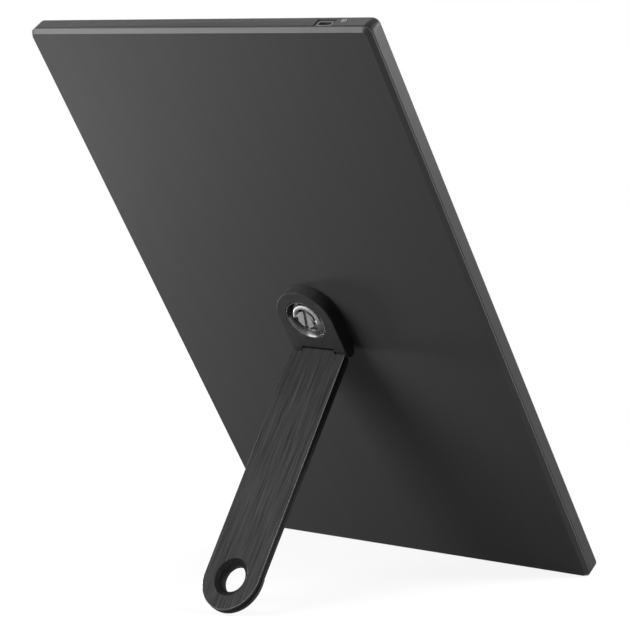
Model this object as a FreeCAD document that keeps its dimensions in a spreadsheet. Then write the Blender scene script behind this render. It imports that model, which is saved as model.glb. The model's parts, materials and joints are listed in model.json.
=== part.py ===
import FreeCAD, Part
import math
import operator
import os
from types import SimpleNamespace

import Sketcher
from FreeCAD import Placement, Rotation, Vector

# Portable monitor on a screw-on folding stand, in millimetres.
# The panel is drawn flat: x across it, y up it and z out of its back face, with the origin in the
# middle of the back face. It then leans back until its lower edge and the foot of the stand meet
# the ground, with +Z up and the screen towards -Y.

SIZES = {
    # the panel, a slab that stands on its short edge
    "panel_width": 226.4,
    "panel_height": 360.5,
    "panel_corner": 4.0,
    # rear cover: bevel and straight edge down to the seam, and the lip inside the frame
    "bevel_run": 1.9,
    "bevel_depth": 2.1,
    "cover_edge": 1.1,
    "cover_wall": 1.8,
    "seam_gap": 0.3,
    "lip_gap": 0.15,
    "lip_thickness": 1.0,
    "lip_length": 2.0,
    # front frame and the window in its bezel
    "frame_wall": 1.6,
    "bezel_thickness": 0.9,
    "front_round": 1.6,
    "window_corner": 0.6,
    "bezel_side": 7.7,
    "bezel_chin": 24.1,
    "bezel_end": 7.65,
    # display stack, from the bezel to the tray
    "tape_thickness": 0.2,
    "tape_width": 1.6,
    "glass_thickness": 0.9,
    "glass_overlap": 2.2,
    "glass_ledge": 5.3,
    "film_thickness": 0.4,
    "guide_thickness": 0.7,
    "guide_overlap": 1.2,
    "reflector_thickness": 0.2,
    "tray_thickness": 0.4,
    "tray_wall": 0.5,
    # strip of lamps beside the light guide
    "strip_thickness": 0.25,
    "strip_inset": 3.0,
    "strip_gap": 0.2,
    "strip_wall_gap": 0.4,
    "lamp_length": 3.0,
    "lamp_width": 0.9,
    "lamp_height": 0.5,
    # driver board of the display and its film
    "driver_width": 9.0,
    "driver_length": 150.0,
    "driver_thickness": 0.8,
    "driver_inset": 0.5,
    "flex_thickness": 0.15,
    "flex_width": 120.0,
    "flex_grip": 2.0,
    "flex_bulge": 0.8,
    # main board
    "board_short": 57.0,
    "board_long": 106.0,
    "board_thickness": 1.0,
    "board_headroom": 3.45,
    "board_clearance": 1.45,
    "board_end_inset": 4.2,
    "board_post_inset": 4.0,
    "board_post_end_inset": 9.0,
    "board_post_radius": 2.6,
    "insulation_thickness": 0.15,
    "insulation_inset": 3.0,
    "chip_side": 14.0,
    "chip_height": 1.2,
    # socket in the upper wall
    "socket_inset": 29.2,
    "socket_width": 8.94,
    "socket_height": 3.26,
    "socket_length": 7.35,
    "socket_wall": 0.3,
    "socket_fit": 0.15,
    "socket_base": 1.6,
    "tongue_width": 6.69,
    "tongue_thickness": 0.7,
    "tongue_setback": 1.2,
    "recess_width": 11.8,
    "recess_below": 3.05,
    "recess_depth": 0.4,
    # flat cables
    "cable_thickness": 0.2,
    "cable_width": 5.0,
    "cable_grip": 6.0,
    "cable_slack": 0.6,
    "display_cable_span": 30.05,
    "key_cable_span": 2.0,
    # keys on the bezel, and their board
    "key_inset": 9.2,
    "key_drop": 28.25,
    "key_pitch": 13.0,
    "key_radius": 2.2,
    "key_gap": 0.15,
    "key_proud": 0.6,
    "key_travel": 0.4,
    "key_seat": 0.05,
    "flange_radius": 2.9,
    "flange_thickness": 0.5,
    "stem_radius": 1.2,
    "stem_length": 0.6,
    "switch_side": 4.0,
    "switch_height": 0.8,
    "plunger_radius": 0.9,
    "plunger_height": 0.4,
    "key_board_width": 10.0,
    "key_board_margin": 13.0,
    "key_board_thickness": 0.8,
    "key_post_radius": 2.0,
    "key_post_reach": 9.0,
    "light_radius": 0.75,
    "light_gap": 0.1,
    # small screws
    "screw_head_radius": 1.7,
    "screw_head_height": 0.7,
    "screw_radius": 0.8,
    "screw_bite": 1.6,
    "screw_fit": 0.05,
    # threaded bush for the stand and the plate that spreads its load
    "thread_radius": 3.175,
    "thread_lead": 1.27,
    "thread_fit": 0.05,
    "bush_radius": 6.0,
    "bush_fit": 0.05,
    "bush_flange_radius": 9.0,
    "bush_flange_thickness": 1.2,
    "bush_tail": 1.0,
    "bush_end_wall": 0.8,
    "plate_side": 44.0,
    "plate_corner": 4.0,
    "plate_thickness": 1.0,
    "plate_screw_pitch": 32.0,
    "plate_boss_height": 1.2,
    "plate_boss_radius": 3.0,
    # head of the stand
    "stand_half_width": 18.4,
    "head_thickness": 7.6,
    "head_chamfer": 0.4,
    "hinge_drop": 22.5,
    "pad_thickness": 1.0,
    "pad_inset": 1.0,
    "pad_hole_radius": 9.0,
    "cup_clearance": 0.82,
    "cup_flare": 1.7,
    "cup_depth": 4.0,
    "cup_wall": 0.4,
    "cup_floor": 0.6,
    "press_gap": 0.03,
    # captive screw, its clip and its folding ring
    "screw_turned": -15.5,
    "screw_top_drop": 0.4,
    "screw_seat_gap": 0.05,
    "slotted_head_radius": 5.4,
    "slotted_head_flat": 4.9,
    "slot_width": 2.1,
    "slot_depth": 1.2,
    "shank_clearance": 0.8,
    "shank_chamfer": 0.5,
    "hole_gap": 0.3,
    "clip_groove_radius": 2.5,
    "clip_radius": 5.2,
    "clip_thickness": 0.5,
    "clip_play": 0.05,
    "clip_lift": 0.15,
    "clip_well_gap": 0.6,
    "clip_mouth": 4.6,
    "ring_gap": 0.63,
    "ring_wire": 1.3,
    "ring_drop": 1.25,
    "ring_leg": 0.55,
    "ring_tail": 1.3,
    "ring_end_round": 0.6,
    "pivot_radius": 0.9,
    "pivot_gap": 0.05,
    "pivot_depth": 1.5,
    # hinge between head and arm
    "knuckle_radius": 3.25,
    "tongue_half_width": 10.8,
    "washer_thickness": 0.3,
    "washer_radius": 3.0,
    "washer_gap": 0.05,
    "shaft_radius": 1.6,
    "shaft_fit": 0.03,
    "ear_end_wall": 1.2,
    "plug_radius": 2.4,
    "sleeve_radius": 2.3,
    "sleeve_inset": 0.1,
    "running_gap": 0.3,
    # arm: brushed plate, liner and foot
    "shoulder_gap": 0.35,
    "open_angle": 67.205,
    "arm_reach": 137.0,
    "arm_plate_thickness": 2.2,
    "arm_chamfer": 0.35,
    "arm_root_thickness": 5.4,
    "arm_tip_thickness": 4.4,
    "liner_heel": 1.6,
    "groove_height": 0.4,
    "groove_depth": 0.6,
    "hang_radius": 7.6,
    "hang_rim_radius": 10.65,
    "hang_rim_depth": 2.0,
    "foot_lead": 3.0,
    "foot_step": 0.3,
    "foot_boss_radius": 11.5,
    "foot_root_thickness": 6.05,
    "foot_tip_thickness": 7.5,
    "foot_round": 3.3,
    # how far a cutting body runs past what it cuts
    "overrun": 2.0,
}

LAMP_COUNT = 28
# places of the chips on the main board and their sides, as shares of the board and of the largest chip
CHIP_SHARES = (
    (0.52, 0.55, 1.0),
    (0.22, 0.58, 0.7),
    (0.24, 0.30, 0.6),
    (0.62, 0.28, 0.5),
    (0.48, 0.80, 0.45),
)
CORNERS = ((1, 1), (-1, 1), (-1, -1), (1, -1))
HALF_CORNERS = ((0, -1), (1, -1), (1, 1), (0, 1))
KEYS = ("power_key", "plus_key", "minus_key")
SIGNS = {"+": operator.add, "-": operator.sub, "*": operator.mul, "/": operator.truediv}


class Size:
    """A length: its value now, and the expression that ties it to the sheet."""

    def __init__(self, value, text):
        self.value = value
        self.text = text

    def __add__(self, other):
        return joined(self, "+", other)

    def __radd__(self, other):
        return joined(other, "+", self)

    def __sub__(self, other):
        return joined(self, "-", other)

    def __rsub__(self, other):
        return joined(other, "-", self)

    def __mul__(self, other):
        return joined(self, "*", other)

    def __rmul__(self, other):
        return joined(other, "*", self)

    def __truediv__(self, other):
        return joined(self, "/", other)

    def __neg__(self):
        return joined(0, "-", self)


def sized(number):
    """A plain number as a Size."""
    if isinstance(number, Size):
        return number
    return Size(float(number), repr(float(number)))


def joined(left, sign, right):
    """The sum, difference, product or quotient of two sizes."""
    left = sized(left)
    right = sized(right)
    return Size(SIGNS[sign](left.value, right.value), f"({left.text} {sign} {right.text})")


doc = FreeCAD.newDocument("PortableMonitor")
sheet = doc.addObject("Spreadsheet::Sheet", "Sizes")
for row, (alias, number) in enumerate(SIZES.items(), start=1):
    sheet.set(f"A{row}", alias)
    sheet.set(f"B{row}", str(number))
    sheet.setAlias(f"B{row}", alias)
doc.recompute()
dim = SimpleNamespace(**{name: Size(number, f"Sizes.{name}") for name, number in SIZES.items()})
nodes = []


# Document objects tied to the sheet

def bind(thing, name, value):
    """Tie one property to the sheet."""
    thing.setExpression(name, sized(value).text)


def put(solid, x, y, z):
    """Tie a solid's place to the sheet."""
    for axis, value in zip("xyz", (x, y, z)):
        bind(solid, f"Placement.Base.{axis}", value)
    return solid


def slab(width, length, height, x=0, y=0, z=0):
    """A box about (x, y) that stands on z."""
    solid = doc.addObject("Part::Box", "Slab")
    bind(solid, "Length", width)
    bind(solid, "Width", length)
    bind(solid, "Height", height)
    return put(solid, x - sized(width) / 2, y - sized(length) / 2, z)


def rod(radius, length, x=0, y=0, z=0, along="z"):
    """A cylinder that starts at (x, y, z) and runs along one axis."""
    solid = doc.addObject("Part::Cylinder", "Rod")
    bind(solid, "Radius", radius)
    bind(solid, "Height", length)
    if along == "x":
        solid.Placement.Rotation = Rotation(Vector(0, 1, 0), 90)
    if along == "y":
        solid.Placement.Rotation = Rotation(Vector(1, 0, 0), -90)
    return put(solid, x, y, z)


def taper(low_radius, high_radius, height, x=0, y=0, z=0):
    """A cone that stands on z."""
    solid = doc.addObject("Part::Cone", "Taper")
    bind(solid, "Radius1", low_radius)
    bind(solid, "Radius2", high_radius)
    bind(solid, "Height", height)
    return put(solid, x, y, z)


def fuse(*solids):
    """Several solids as one."""
    whole = doc.addObject("Part::MultiFuse", "Fuse")
    whole.Shapes = list(solids)
    whole.Refine = True
    return whole


def cut(base, *tools):
    """A solid less some others."""
    rest = doc.addObject("Part::Cut", "Cut")
    rest.Base = base
    rest.Tool = tools[0] if len(tools) == 1 else fuse(*tools)
    rest.Refine = True
    return rest


def shared(first, second):
    """What two solids have in common."""
    common = doc.addObject("Part::Common", "Common")
    common.Base = first
    common.Tool = second
    return common


def together(*solids):
    """Alike pieces that share a node and stay apart."""
    set_of_pieces = doc.addObject("Part::Compound", "Set")
    set_of_pieces.Links = list(solids)
    return set_of_pieces


def softened(kind, base, radius, wanted):
    """A solid with a chamfer or fillet on the edges that the test wants."""
    doc.recompute()
    soft = doc.addObject(kind, "Edge")
    soft.Base = base
    numbers = [number for number, edge in enumerate(base.Shape.Edges, start=1) if wanted(edge)]
    soft.Edges = [(number, radius.value, radius.value) for number in numbers]
    return soft


def level(edge, height):
    """Whether an edge lies flat at a height."""
    box = edge.BoundBox
    close = SIZES["press_gap"]
    return abs(box.ZMin - height.value) < close and abs(box.ZMax - height.value) < close


def node(label, thing, frame):
    """Name a finished piece and set it in its frame; a bare solid keeps its own place within it."""
    if thing.ExpressionEngine:
        thing = together(thing)
    thing.Label = label
    thing.Placement = frame
    nodes.append(thing)


# Sketches and features tied to the sheet

def sketch_on(body, plane, offset=0):
    """A sketch on one of the body's own planes, moved along its normal."""
    sketch = body.newObject("Sketcher::SketchObject", "Sketch")
    support = next(item for item in body.Origin.OriginFeatures if item.Role == plane)
    sketch.AttachmentSupport = [(support, "")]
    sketch.MapMode = "FlatFace"
    bind(sketch, "AttachmentOffset.Base.z", offset)
    return sketch


def tie(sketch, kind, value, *places):
    """A dimension of a sketch, tied to the sheet."""
    number = sketch.addConstraint(Sketcher.Constraint(kind, *places, sized(value).value))
    bind(sketch, f"Constraints[{number}]", value)


def tie_point(sketch, geometry, point, x, y):
    """Tie a point of a sketch to the sheet, both ways."""
    tie(sketch, "DistanceX", x, -1, 1, geometry, point)
    tie(sketch, "DistanceY", y, -1, 1, geometry, point)


def polygon(sketch, points):
    """A closed outline of straight runs."""
    corners = [Vector(sized(x).value, sized(y).value, 0) for x, y in points]
    count = len(corners)
    for index, corner in enumerate(corners):
        sketch.addGeometry(Part.LineSegment(corner, corners[(index + 1) % count]))
    for index in range(count):
        sketch.addConstraint(Sketcher.Constraint("Coincident", index, 2, (index + 1) % count, 1))
    for index, (x, y) in enumerate(points):
        tie_point(sketch, index, 1, x, y)
    return sketch


def rounded(sketch, width, length, radius, x=0, y=0):
    """A rectangle with round corners about (x, y)."""
    centres = []
    for index, (side, end) in enumerate(CORNERS):
        centre_x = x + side * (width / 2 - radius)
        centre_y = y + end * (length / 2 - radius)
        centres.append((centre_x, centre_y))
        circle = Part.Circle(Vector(centre_x.value, centre_y.value, 0), Vector(0, 0, 1), radius.value)
        sketch.addGeometry(Part.ArcOfCircle(circle, index * math.pi / 2, (index + 1) * math.pi / 2))
    arcs = sketch.Geometry
    count = len(CORNERS)
    for index in range(count):
        run = Part.LineSegment(arcs[index].EndPoint, arcs[(index + 1) % count].StartPoint)
        sketch.addGeometry(run)
    for index, (centre_x, centre_y) in enumerate(centres):
        sketch.addConstraint(Sketcher.Constraint("Tangent", index, 2, count + index, 1))
        sketch.addConstraint(Sketcher.Constraint("Tangent", count + index, 2, (index + 1) % count, 1))
        tie_point(sketch, index, 3, centre_x, centre_y)
        tie(sketch, "Radius", radius, index)
    return sketch


def discs(sketch, radius, centres):
    """Equal circles at some places."""
    for x, y in centres:
        place = Vector(sized(x).value, sized(y).value, 0)
        index = sketch.addGeometry(Part.Circle(place, Vector(0, 0, 1), radius.value))
        tie_point(sketch, index, 3, x, y)
        tie(sketch, "Radius", radius, index)
    return sketch


def feature(body, kind, sketch, length, back=False, both_ways=False):
    """A pad or pocket of a sketch."""
    step = body.newObject(f"PartDesign::{kind}", kind)
    step.Profile = sketch
    step.Reversed = back
    if both_ways:
        step.SideType = "Symmetric"
    bind(step, "Length", length)
    body.Tip = step
    return step


def loft(body, first, last):
    """A solid between two outlines."""
    step = body.newObject("PartDesign::AdditiveLoft", "Loft")
    step.Profile = first
    step.Sections = [last]
    step.Ruled = True
    body.Tip = step
    return step


def new_body():
    return doc.addObject("PartDesign::Body", "Body")


def turned(points):
    """A body turned about z from a half profile of (radius, height) points."""
    body = new_body()
    profile = polygon(sketch_on(body, "XZ_Plane"), points)
    step = body.newObject("PartDesign::Revolution", "Revolution")
    step.Profile = profile
    step.ReferenceAxis = (profile, ["V_Axis"])
    step.Angle = 360
    body.Tip = step
    return body


def strip(plane, points, width, offset=0):
    """A flat cable or wedge: a profile drawn on an upright plane and drawn out both ways."""
    body = new_body()
    feature(body, "Pad", polygon(sketch_on(body, plane, offset), points), width, both_ways=True)
    return body


def small_screw(x, y, z, length, facing):
    """A pan-head screw whose head bears on z; its head is on the facing side."""
    head_low = z if facing > 0 else z - dim.screw_head_height
    shank_low = z - length if facing > 0 else z
    head = rod(dim.screw_head_radius, dim.screw_head_height, x, y, head_low)
    return fuse(head, rod(dim.screw_radius, length, x, y, shank_low))


# Levels and places that several pieces share, on the flat panel

seam = -(dim.bevel_depth + dim.cover_edge)
frame_top = seam - dim.seam_gap
cover_inside = -dim.cover_wall
board_high = cover_inside - dim.board_headroom
board_low = board_high - dim.board_thickness
tray_back = board_low - dim.board_clearance
tray_floor = tray_back - dim.tray_thickness
reflector_front = tray_floor - dim.reflector_thickness
guide_front = reflector_front - dim.guide_thickness
film_front = guide_front - dim.film_thickness
glass_front = film_front - dim.glass_thickness
bezel_back = glass_front - dim.tape_thickness
front = bezel_back - dim.bezel_thickness

lip_inset = dim.frame_wall + dim.lip_gap
cavity_inset = lip_inset + dim.lip_thickness
cavity_width = dim.panel_width - 2 * cavity_inset
cavity_height = dim.panel_height - 2 * cavity_inset

window_short = dim.panel_width - dim.bezel_side - dim.bezel_chin
window_long = dim.panel_height - 2 * dim.bezel_end
window_left = dim.bezel_side - dim.panel_width / 2
window_x = window_left + window_short / 2
glass_width = window_short + dim.glass_overlap + dim.glass_ledge
glass_long = window_long + 2 * dim.glass_overlap
glass_x = window_left - dim.glass_overlap + glass_width / 2
glass_right = glass_x + glass_width / 2
strip_width = dim.glass_ledge - dim.guide_overlap - dim.tray_wall - dim.strip_gap - dim.strip_wall_gap

socket_x = dim.panel_width / 2 - dim.socket_inset
socket_z = (board_low + board_high) / 2
socket_front = dim.panel_height / 2 - dim.recess_depth
socket_back = socket_front - dim.socket_length
recess_low = socket_z - dim.recess_below

key_x = dim.panel_width / 2 - dim.key_inset
key_top = dim.panel_height / 2 - dim.key_drop
key_places = [key_top - order * dim.key_pitch for order in range(len(KEYS))]
light_y = key_top - dim.key_pitch / 2
key_flange_front = bezel_back + dim.key_seat
key_stem_end = key_flange_front + dim.flange_thickness + dim.stem_length
key_board_front = (
    key_stem_end + dim.key_travel + dim.key_seat + dim.plunger_height + dim.switch_height
)
key_board_back = key_board_front + dim.key_board_thickness
key_board_left = key_x - dim.key_board_width / 2
key_board_long = 2 * (dim.key_pitch + dim.key_board_margin)
key_posts = [
    (key_x, key_places[0] + dim.key_post_reach),
    (key_x, key_places[-1] - dim.key_post_reach),
]

board_right = key_board_left - dim.key_cable_span
board_x = board_right - dim.board_short / 2
board_top = dim.panel_height / 2 - dim.board_end_inset
board_bottom = board_top - dim.board_long
board_y = (board_top + board_bottom) / 2
board_posts = [
    (
        board_x + side * (dim.board_short / 2 - dim.board_post_inset),
        board_y + end * (dim.board_long / 2 - dim.board_post_end_inset),
    )
    for side, end in CORNERS
]

driver_x = glass_right - dim.driver_inset - dim.driver_width / 2
driver_back = tray_back + dim.driver_thickness
driver_top = board_bottom - dim.display_cable_span
driver_y = driver_top - dim.driver_length / 2

plate_high = cover_inside - dim.plate_boss_height
plate_low = plate_high - dim.plate_thickness
bush_flange_low = plate_low - dim.bush_flange_thickness
bush_end = bush_flange_low - dim.bush_tail
bush_bore_end = bush_end + dim.bush_end_wall
plate_pitch = dim.plate_screw_pitch / 2
plate_screws = [(side * plate_pitch, end * plate_pitch) for side, end in CORNERS]

head_low = dim.pad_thickness
head_high = head_low + dim.head_thickness
ear_radius = dim.head_thickness / 2
ring_radius = dim.slotted_head_radius + dim.ring_gap + dim.ring_wire
cup_floor_radius = dim.ring_leg + ring_radius + dim.ring_wire + dim.cup_clearance
cup_rim_radius = cup_floor_radius + dim.cup_flare
hinge_y = -dim.hinge_drop
hinge_z = head_low + ear_radius
cup_bottom = head_high - dim.cup_depth - dim.cup_floor
cup_seat = head_high - dim.cup_depth
notch_half_width = dim.tongue_half_width + dim.washer_thickness + 2 * dim.washer_gap

screw_under_head = cup_seat + dim.screw_seat_gap
screw_top = head_high - dim.screw_top_drop
ring_z = screw_top - dim.ring_drop
screw_hole = dim.thread_radius + dim.hole_gap
clip_low = head_low + dim.clip_lift
clip_well_depth = dim.clip_lift + dim.clip_thickness + dim.thread_lead + dim.clip_play

shoulder = ear_radius + dim.shoulder_gap
plate_under = dim.knuckle_radius - dim.arm_plate_thickness
groove_floor = plate_under - dim.groove_height
liner_root = dim.knuckle_radius - dim.arm_root_thickness
liner_tip = dim.knuckle_radius - dim.arm_tip_thickness
foot_radius = dim.stand_half_width + dim.foot_step
foot_start = dim.arm_reach - dim.foot_lead
foot_end = dim.arm_reach + foot_radius
foot_root_start = dim.arm_reach - dim.foot_boss_radius
foot_root = dim.knuckle_radius - dim.foot_root_thickness
foot_tip = dim.knuckle_radius - dim.foot_tip_thickness


# Frames: the leaning panel, the opened arm and the turned screw

def foot_edge():
    """Middle of the foot's round lower edge, and its radius, in the panel's own plane of y and z."""
    radius = dim.foot_round.value
    slope = math.atan2((foot_root - foot_tip).value, (foot_end - foot_root_start).value)
    reach = foot_end.value - radius
    drop = -foot_tip.value - radius * (math.tan(slope) + 1 / math.cos(slope))
    opened = math.radians(dim.open_angle.value)
    up = hinge_y.value - reach * math.cos(opened) - drop * math.sin(opened)
    out = hinge_z.value + reach * math.sin(opened) - drop * math.cos(opened)
    return up, out, radius


def panel_frame():
    """The flat panel, leant back until its lower edge and the foot meet the ground, with its box centred."""
    half = dim.panel_height.value / 2
    edge_out = -dim.bevel_depth.value
    foot_up, foot_out, foot_radius = foot_edge()
    span = math.hypot(foot_up + half, foot_out - edge_out)
    lean = math.acos(foot_radius / span) - math.atan2(foot_out - edge_out, foot_up + half)
    across = Vector(-1, 0, 0)
    upward = Vector(0, math.sin(lean), math.cos(lean))
    outward = Vector(0, math.cos(lean), -math.sin(lean))
    corner = dim.front_round.value
    lowest = upward * -half + outward * edge_out
    rearmost = upward * (half - dim.bevel_run.value)
    front_corner = upward * (corner - half) + outward * (front.value + corner)
    middle_y = (rearmost.y + front_corner.y - corner) / 2
    return Placement(Vector(0, -middle_y, -lowest.z), Rotation(across, upward, outward, "ZXY"))


panel = panel_frame()
hinge_place = Vector(0, hinge_y.value, hinge_z.value)
arm = panel.multiply(Placement(hinge_place, Rotation(Vector(1, 0, 0), -dim.open_angle.value)))
screw = panel.multiply(Placement(Vector(), Rotation(Vector(0, 0, 1), dim.screw_turned.value)))


# Shells of the panel

def rear_cover():
    """Back shell: bevelled plate, straight edge, inner lip, and bosses for the board and the plate."""
    body = new_body()
    inner_width = dim.panel_width - 2 * dim.bevel_run
    inner_height = dim.panel_height - 2 * dim.bevel_run
    lip_width = dim.panel_width - 2 * lip_inset
    lip_height = dim.panel_height - 2 * lip_inset
    lip_end = seam - dim.lip_length
    edge = rounded(sketch_on(body, "XY_Plane", seam), dim.panel_width, dim.panel_height, dim.panel_corner)
    feature(body, "Pad", edge, dim.cover_edge)
    wide = rounded(
        sketch_on(body, "XY_Plane", -dim.bevel_depth), dim.panel_width, dim.panel_height, dim.panel_corner
    )
    narrow = rounded(
        sketch_on(body, "XY_Plane"), inner_width, inner_height, dim.panel_corner - dim.bevel_run
    )
    loft(body, wide, narrow)
    lip = rounded(
        sketch_on(body, "XY_Plane", lip_end), lip_width, lip_height, dim.panel_corner - lip_inset
    )
    feature(body, "Pad", lip, dim.lip_length)
    hollow = rounded(
        sketch_on(body, "XY_Plane", lip_end), cavity_width, cavity_height, dim.panel_corner - cavity_inset
    )
    feature(body, "Pocket", hollow, cover_inside - lip_end, back=True)
    posts = discs(sketch_on(body, "XY_Plane", board_high), dim.board_post_radius, board_posts)
    feature(body, "Pad", posts, cover_inside - board_high)
    bosses = discs(sketch_on(body, "XY_Plane", plate_high), dim.plate_boss_radius, plate_screws)
    feature(body, "Pad", bosses, cover_inside - plate_high)
    pilot = dim.screw_radius + dim.screw_fit
    bite = dim.screw_bite + dim.screw_fit
    tools = [rod(pilot, bite, x, y, board_high) for x, y in board_posts]
    tools += [rod(pilot, bite, x, y, plate_high) for x, y in plate_screws]
    bush_hole = dim.bush_radius + dim.bush_fit
    tools.append(rod(bush_hole, dim.cover_wall + dim.overrun, z=cover_inside - dim.overrun / 2))
    lip_y = dim.panel_height / 2 - cavity_inset
    tools.append(slab(dim.recess_width, 2 * cavity_inset, dim.lip_length, socket_x, lip_y, lip_end))
    node("rear_cover", cut(body, *tools), panel)


def oblong(width, height, length, x, y, z):
    """A bar with round sides that runs along y, about (x, z)."""
    radius = height / 2
    reach = width / 2 - radius
    ends = [rod(radius, length, x + side * reach, y, z, along="y") for side in (-1, 1)]
    middle = slab(2 * reach, length, height, x, y + length / 2, z - radius)
    return fuse(middle, *ends)


def front_frame():
    """Side walls and bezel in one: window, socket recess, key holes and posts for the key board."""
    body = new_body()
    outline = rounded(
        sketch_on(body, "XY_Plane", front), dim.panel_width, dim.panel_height, dim.panel_corner
    )
    block = feature(body, "Pad", outline, frame_top - front)
    doc.recompute()
    edges = [
        f"Edge{number}"
        for number, edge in enumerate(block.Shape.Edges, start=1)
        if level(edge, front)
    ]
    soft = body.newObject("PartDesign::Fillet", "Fillet")
    soft.Base = (block, edges)
    bind(soft, "Radius", dim.front_round)
    body.Tip = soft
    hollow = rounded(
        sketch_on(body, "XY_Plane", frame_top),
        dim.panel_width - 2 * dim.frame_wall,
        dim.panel_height - 2 * dim.frame_wall,
        dim.panel_corner - dim.frame_wall,
    )
    feature(body, "Pocket", hollow, frame_top - bezel_back)
    window = rounded(
        sketch_on(body, "XY_Plane", bezel_back),
        window_short,
        window_long,
        dim.window_corner,
        window_x,
    )
    feature(body, "Pocket", window, dim.bezel_thickness + dim.overrun)
    posts = discs(sketch_on(body, "XY_Plane", bezel_back), dim.key_post_radius, key_posts)
    feature(body, "Pad", posts, key_board_front - bezel_back)
    recess_height = frame_top - recess_low + dim.overrun
    tools = [
        slab(
            dim.recess_width,
            2 * dim.recess_depth,
            recess_height,
            socket_x,
            dim.panel_height / 2,
            recess_low,
        ),
        oblong(
            dim.socket_width + 2 * dim.socket_fit,
            dim.socket_height + 2 * dim.socket_fit,
            dim.frame_wall + dim.overrun,
            socket_x,
            dim.panel_height / 2 - dim.frame_wall - dim.overrun / 2,
            socket_z,
        ),
    ]
    through = dim.bezel_thickness + dim.overrun
    below = front - dim.overrun / 2
    tools.append(rod(dim.light_radius + dim.light_gap, through, key_x, light_y, below))
    for key_y in key_places:
        tools.append(rod(dim.key_radius + dim.key_gap, through, key_x, key_y, below))
    pilot = dim.screw_radius + dim.screw_fit
    bite = dim.screw_bite + dim.screw_fit
    for x, y in key_posts:
        tools.append(rod(pilot, bite, x, y, key_board_front - bite))
    node("front_frame", cut(body, *tools), panel)


# Display stack

def display_stack():
    """Tape, glass, films, light guide and reflector, laid on each other in the tray."""
    tape_long = window_long + 2 * dim.tape_width
    tape_short = window_short + 2 * dim.tape_width
    frame = slab(tape_short, tape_long, dim.tape_thickness, window_x, z=bezel_back)
    opening = slab(
        window_short,
        window_long,
        dim.tape_thickness + dim.overrun,
        window_x,
        z=bezel_back - dim.overrun / 2,
    )
    node("bezel_tape", cut(frame, opening), panel)
    glass = slab(glass_width, glass_long, dim.glass_thickness, glass_x, z=glass_front)
    node("lcd_glass", glass, panel)
    sheet_short = window_short + 2 * dim.guide_overlap
    sheet_long = window_long + 2 * dim.guide_overlap
    for label, thickness, low in (
        ("diffuser_films", dim.film_thickness, film_front),
        ("light_guide", dim.guide_thickness, guide_front),
        ("reflector_sheet", dim.reflector_thickness, reflector_front),
    ):
        node(label, slab(sheet_short, sheet_long, thickness, window_x, z=low), panel)
    tray = slab(glass_width, glass_long, tray_back - film_front, glass_x, z=film_front)
    hollow = slab(
        glass_width - 2 * dim.tray_wall,
        glass_long - 2 * dim.tray_wall,
        tray_floor - film_front + dim.overrun,
        glass_x,
        z=film_front - dim.overrun,
    )
    node("backlight_tray", cut(tray, hollow), panel)


def led_strip():
    """Narrow board along the light guide's edge, with a row of lamps."""
    guide_right = window_x + window_short / 2 + dim.guide_overlap
    left = guide_right + dim.strip_gap
    length = window_long - 2 * dim.strip_inset
    strip_front = tray_floor - dim.strip_thickness
    half_lamp = dim.lamp_length / 2
    body = new_body()
    base = sketch_on(body, "XY_Plane", strip_front)
    polygon(base, [(left + side * strip_width, end * length / 2) for side, end in HALF_CORNERS])
    feature(body, "Pad", base, dim.strip_thickness)
    first = half_lamp - length / 2
    lamp = sketch_on(body, "XY_Plane", strip_front)
    polygon(lamp, [(left + side * dim.lamp_width, first + end * half_lamp) for side, end in HALF_CORNERS])
    bead = feature(body, "Pad", lamp, dim.lamp_height, back=True)
    doc.recompute()
    row = body.newObject("PartDesign::LinearPattern", "LinearPattern")
    row.Originals = [bead]
    row.Direction = (lamp, ["V_Axis"])
    row.Occurrences = LAMP_COUNT
    bind(row, "Length", length - dim.lamp_length)
    body.Tip = row
    node("led_strip", body, panel)


def driver_board():
    """Driver board on the back of the tray, and the film that comes round from the glass."""
    board = slab(
        dim.driver_width, dim.driver_length, dim.driver_thickness, driver_x, driver_y, tray_back
    )
    node("panel_board", board, panel)
    outer = glass_right + dim.flex_bulge
    inner = outer - dim.flex_thickness
    points = [
        (glass_right - dim.flex_grip, glass_front),
        (glass_right - dim.flex_grip, glass_front - dim.flex_thickness),
        (outer, glass_front - dim.flex_thickness),
        (outer, driver_back + dim.flex_thickness),
        (glass_right - dim.flex_grip, driver_back + dim.flex_thickness),
        (glass_right - dim.flex_grip, driver_back),
        (inner, driver_back),
        (inner, glass_front),
    ]
    node("panel_flex", strip("XZ_Plane", points, dim.flex_width, -driver_y), panel)


# Electronics

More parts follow.
